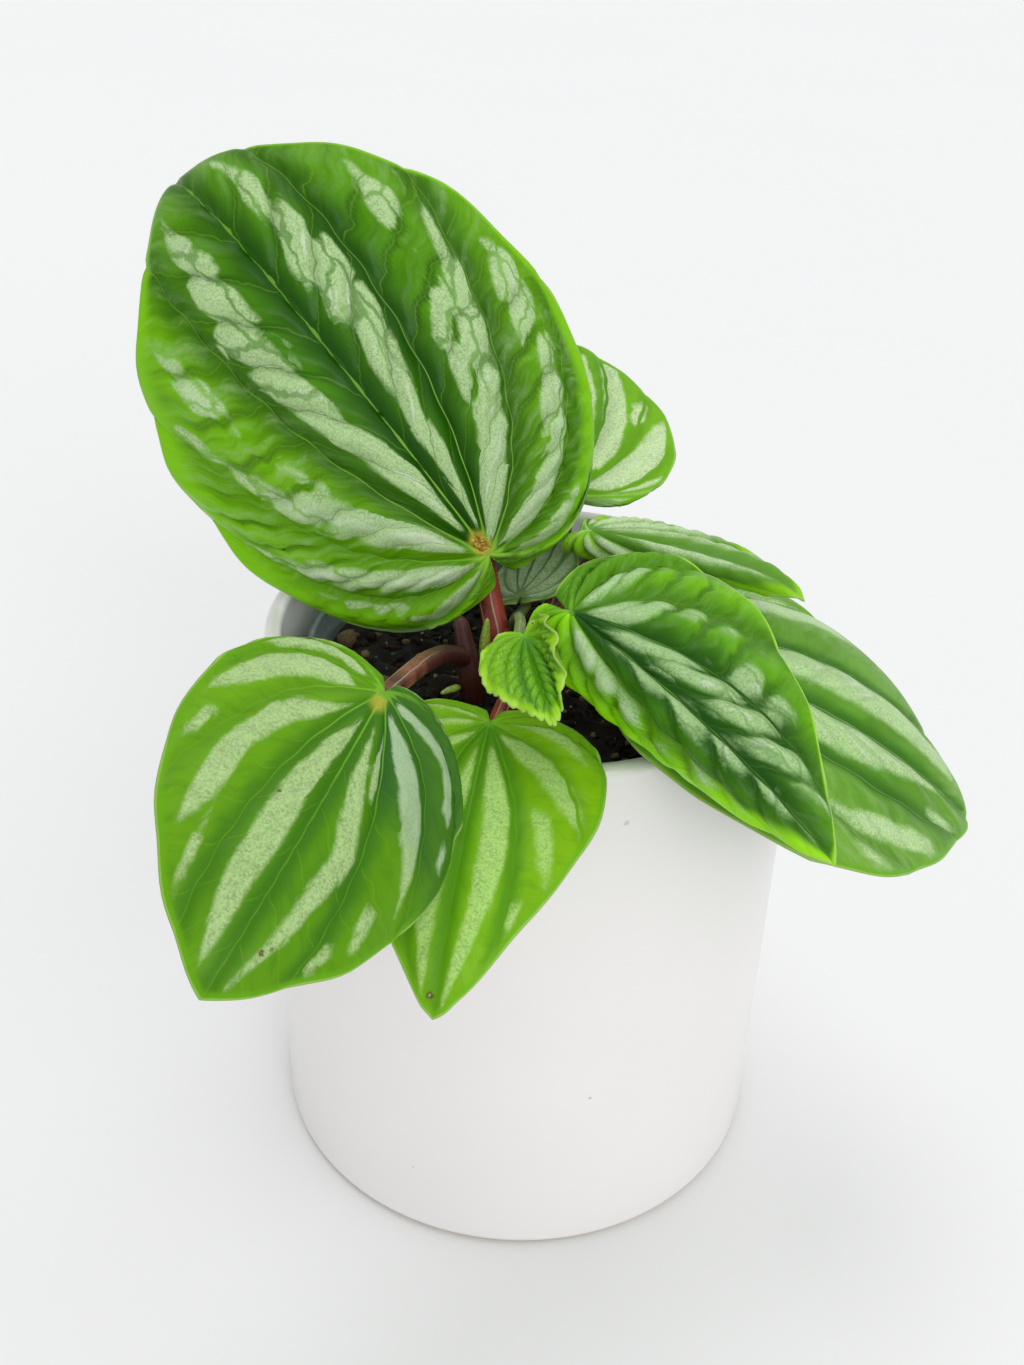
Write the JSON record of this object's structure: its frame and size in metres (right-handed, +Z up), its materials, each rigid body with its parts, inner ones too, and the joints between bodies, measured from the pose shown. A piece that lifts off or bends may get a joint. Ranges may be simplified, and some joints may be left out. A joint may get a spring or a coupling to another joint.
{
  "type": "potted peperomia",
  "caption": "Young peperomia with silver-striped heart-shaped leaves on red-brown stems, in its nursery pot of soil, standing in a plain white ceramic cover pot.",
  "frame": {"origin": "centre of the cover pot's flat base", "axes": "+Z up out of the pot, -Y towards the viewer of the picture, +X towards that viewer's right"},
  "size_m": [0.1896, 0.206, 0.2387],
  "materials": {
    "white_glaze": "satin",
    "grey_plastic": "satin",
    "potting_soil": "matte",
    "red_stem": "satin",
    "dark_stem": "satin",
    "pale_stem": "satin",
    "bud_green": "satin",
    "leaf_green": "gloss",
    "leaf_pale": "satin",
    "leaf_lime": "gloss"
  },
  "bodies": {
    "root": {"cover_pot": "white_glaze", "nursery_pot": "grey_plastic", "soil": "potting_soil", "stem_crown": "red_stem", "stem_side": "dark_stem", "stem_young": "pale_stem", "bud_low": "bud_green", "bud_side": "bud_green", "bud_spike": "bud_green", "leaf_large": "leaf_green", "leaf_lower_left": "leaf_green", "leaf_lower_middle": "leaf_green", "leaf_right_front": "leaf_green", "leaf_right_back": "leaf_pale", "leaf_upper_right": "leaf_pale", "leaf_back": "leaf_pale", "leaf_shaded": "leaf_pale", "leaf_young": "leaf_lime"}
  },
  "joints": []
}
